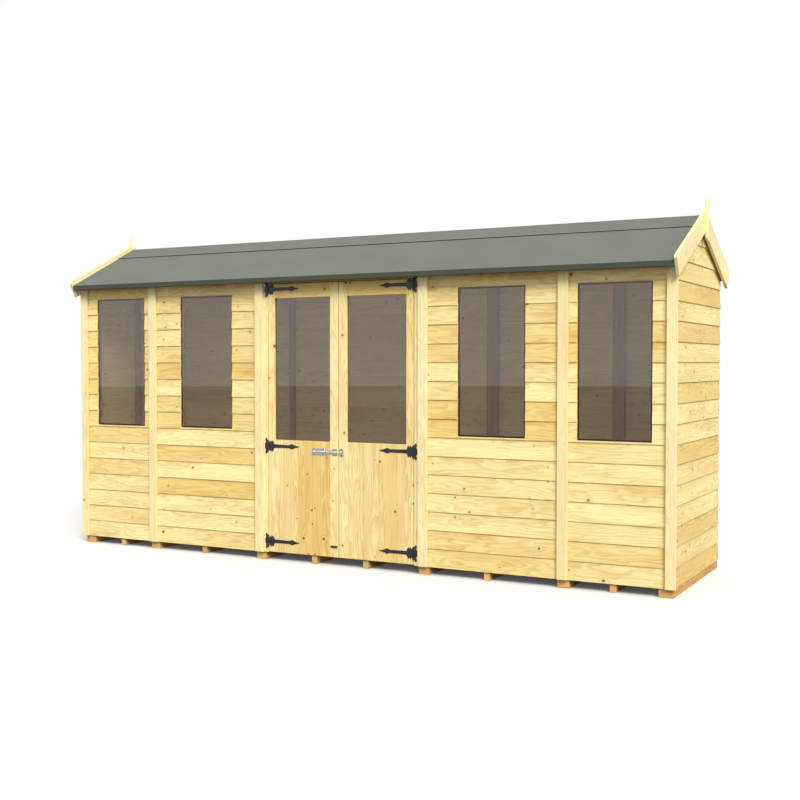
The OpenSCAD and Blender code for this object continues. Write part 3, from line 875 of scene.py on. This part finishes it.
posts = join("fixed_hinges", [fixed_leaf(side, z) for side in (-1, 1) for z in hinge_heights])
finish(posts, iron, "black_iron", "building", "hinge_plates")
for side, name, body in ((-1, "left_straps", "left_door"), (1, "right_straps", "right_door")):
    straps = join(name, [moving_leaf(side, z) for z in hinge_heights])
    finish(straps, iron, "black_iron", body, body + "_straps")
button = sawn("button", "turn_button", 0.001)
finish(button, iron, "black_iron", "left_door", "turn_button")

# Sliding bolt: bright zinc-plated steel. A back plate with three pressed guides is screwed to the
# left-hand door, a round rod with a short handle slides in them, and a keeper is on the other door.
zinc = bpy.data.materials.new("bright zinc")
zinc.use_nodes = True
nodes, links = zinc.node_tree.nodes, zinc.node_tree.links
surface = nodes["Principled BSDF"]
surface.inputs["Metallic"].default_value = 1.0
place = nodes.new("ShaderNodeTexCoord")
spangle = nodes.new("ShaderNodeTexVoronoi")
spangle.inputs["Scale"].default_value = 300
tint = mixed(zinc.node_tree)
tint.inputs["A"].default_value = (0.80, 0.80, 0.83, 1)
tint.inputs["B"].default_value = (0.94, 0.94, 0.96, 1)
wipe = nodes.new("ShaderNodeMapRange")
wipe.inputs["To Min"].default_value = 0.22
wipe.inputs["To Max"].default_value = 0.38
links.new(place.outputs["Object"], spangle.inputs["Vector"])
links.new(spangle.outputs["Color"], tint.inputs["Factor"])
links.new(tint.outputs["Result"], surface.inputs["Base Color"])
links.new(spangle.outputs["Distance"], wipe.inputs["Value"])
links.new(wipe.outputs[0], surface.inputs["Roughness"])

back_low, back_high = (Vector(corner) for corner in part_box("bolt_plate"))
rod_low, rod_high = (Vector(corner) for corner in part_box("bolt_rod"))
catch_low, catch_high = (Vector(corner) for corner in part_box("bolt_keeper"))
rod_radius = 0.005
rod_y = back_low.y + 0.003 + rod_radius
rod_z = (back_low.z + back_high.z) / 2
sheet_thick = 0.002


def pressed_guide(x0, x1, reach):
    """A strip pressed up over the rod, with a foot above and below."""
    outline = []
    for step in range(13):
        angle = math.radians(180 * step / 12)
        outline.append((rod_y - reach * math.sin(angle), rod_z + reach * math.cos(angle)))
    foot_y = back_high.y - sheet_thick
    feet = [(foot_y, rod_z + reach), *outline, (foot_y, rod_z - reach)]
    bpy.ops.mesh.primitive_grid_add(x_subdivisions=1, y_subdivisions=len(feet) - 1, size=1)
    strip = bpy.context.object
    strip.name = strip.data.name = "guide"
    rows = sorted({round(vertex.co.y, 5) for vertex in strip.data.vertices})
    for vertex in strip.data.vertices:
        y, z = feet[rows.index(round(vertex.co.y, 5))]
        vertex.co = (x0 if vertex.co.x < 0 else x1, y, z)
    wall = strip.modifiers.new("sheet", "SOLIDIFY")
    wall.thickness = 0.0016
    wall.offset = 0
    pick(strip)
    bpy.ops.object.modifier_apply(modifier=wall.name)
    bpy.ops.object.mode_set(mode="EDIT")
    bpy.ops.mesh.select_all(action="SELECT")
    bpy.ops.mesh.normals_make_consistent(inside=False)
    bpy.ops.object.mode_set(mode="OBJECT")
    bpy.ops.object.shade_smooth_by_angle(angle=math.radians(35))
    return strip


def back_plate(x0, x1, z0, z1, waist=()):
    """A thin plate with its corners taken off, narrower over the waist."""
    half, corner = (z1 - z0) / 2, 0.004
    outline = [(x1, half - corner), (x1 - corner, half)]
    if waist:
        high, low = waist
        outline += [(high, half), (high - 0.005, half - 0.010), (low + 0.005, half - 0.010), (low, half)]
    outline += [(x0 + corner, half), (x0, half - corner)]
    plate = cut_plate("back_plate", outline, sheet_thick, 0.0005)
    return place_at(plate, 0, back_high.y, (z0 + z1) / 2)


# Painted shade: the screw heads are near-black steel so that they read as the shade in the screw
# recesses.
steel = bpy.data.materials.new("screw heads darkened as painted recess shade")
steel.use_nodes = True
nodes, links = steel.node_tree.nodes, steel.node_tree.links
surface = nodes["Principled BSDF"]
surface.inputs["Metallic"].default_value = 1.0
place = nodes.new("ShaderNodeTexCoord")
screw_mottle = nodes.new("ShaderNodeTexNoise")
screw_mottle.inputs["Scale"].default_value = 700
dark = mixed(steel.node_tree)
dark.inputs["A"].default_value = (0.05, 0.05, 0.06, 1)
dark.inputs["B"].default_value = (0.14, 0.14, 0.15, 1)
surface.inputs["Roughness"].default_value = 0.4
links.new(place.outputs["Object"], screw_mottle.inputs["Vector"])
links.new(screw_mottle.outputs["Fac"], dark.inputs["Factor"])
links.new(dark.outputs["Result"], surface.inputs["Base Color"])


def screws(name, body, places, y, radius):
    """The screws of a plate, as one piece."""
    heads = join(name, [dome_screw(x, y, z, radius) for x, z in places])
    finish(heads, steel, "black_iron", body)


plate_waist = (-0.044, -0.108)
guide_places = (-0.188, -0.128, -0.024)
guide_width = 0.008
parts = [back_plate(back_low.x, back_high.x, back_low.z, back_high.z, plate_waist)]
for x in guide_places:
    parts.append(pressed_guide(x, x + guide_width, rod_radius + 0.0016))
finish(join("bolt_back", parts), zinc, "zinc", "left_door", "bolt_plate")
places = [(x, z) for x in (back_low.x + 0.008, -0.116, -0.036, back_high.x - 0.007)
          for z in (back_low.z + 0.007, back_high.z - 0.007)]
screws("bolt_screws", "left_door", places, back_high.y - sheet_thick, 0.0042)

rod_middle = ((rod_low.x + rod_high.x) / 2, rod_y, rod_z)
rod = turned("rod", rod_radius, rod_high.x - rod_low.x, rod_middle, "X", 0.0018)
handle_x = -0.075
handle_y = rod_y - 0.0035
handle = turned("handle", 0.0032, 0.026, (handle_x, handle_y, rod_z - 0.0155), ease=0.0014)
collar = turned("collar", 0.0048, 0.006, (handle_x, handle_y, rod_z - 0.0255), ease=0.0018)
finish(join("bolt_bar", [rod, handle, collar]), zinc, "zinc", "bolt", "bolt_rod")

parts = [back_plate(catch_low.x, catch_high.x, catch_low.z, catch_high.z),
         pressed_guide(0.014, 0.033, rod_radius + 0.0022)]
finish(join("bolt_catch", parts), zinc, "zinc", "right_door", "bolt_keeper")
places = [((catch_low.x + catch_high.x) / 2, z) for z in (catch_low.z + 0.008, catch_high.z - 0.008)]
screws("keeper_screws", "right_door", places, catch_high.y - sheet_thick, 0.0048)
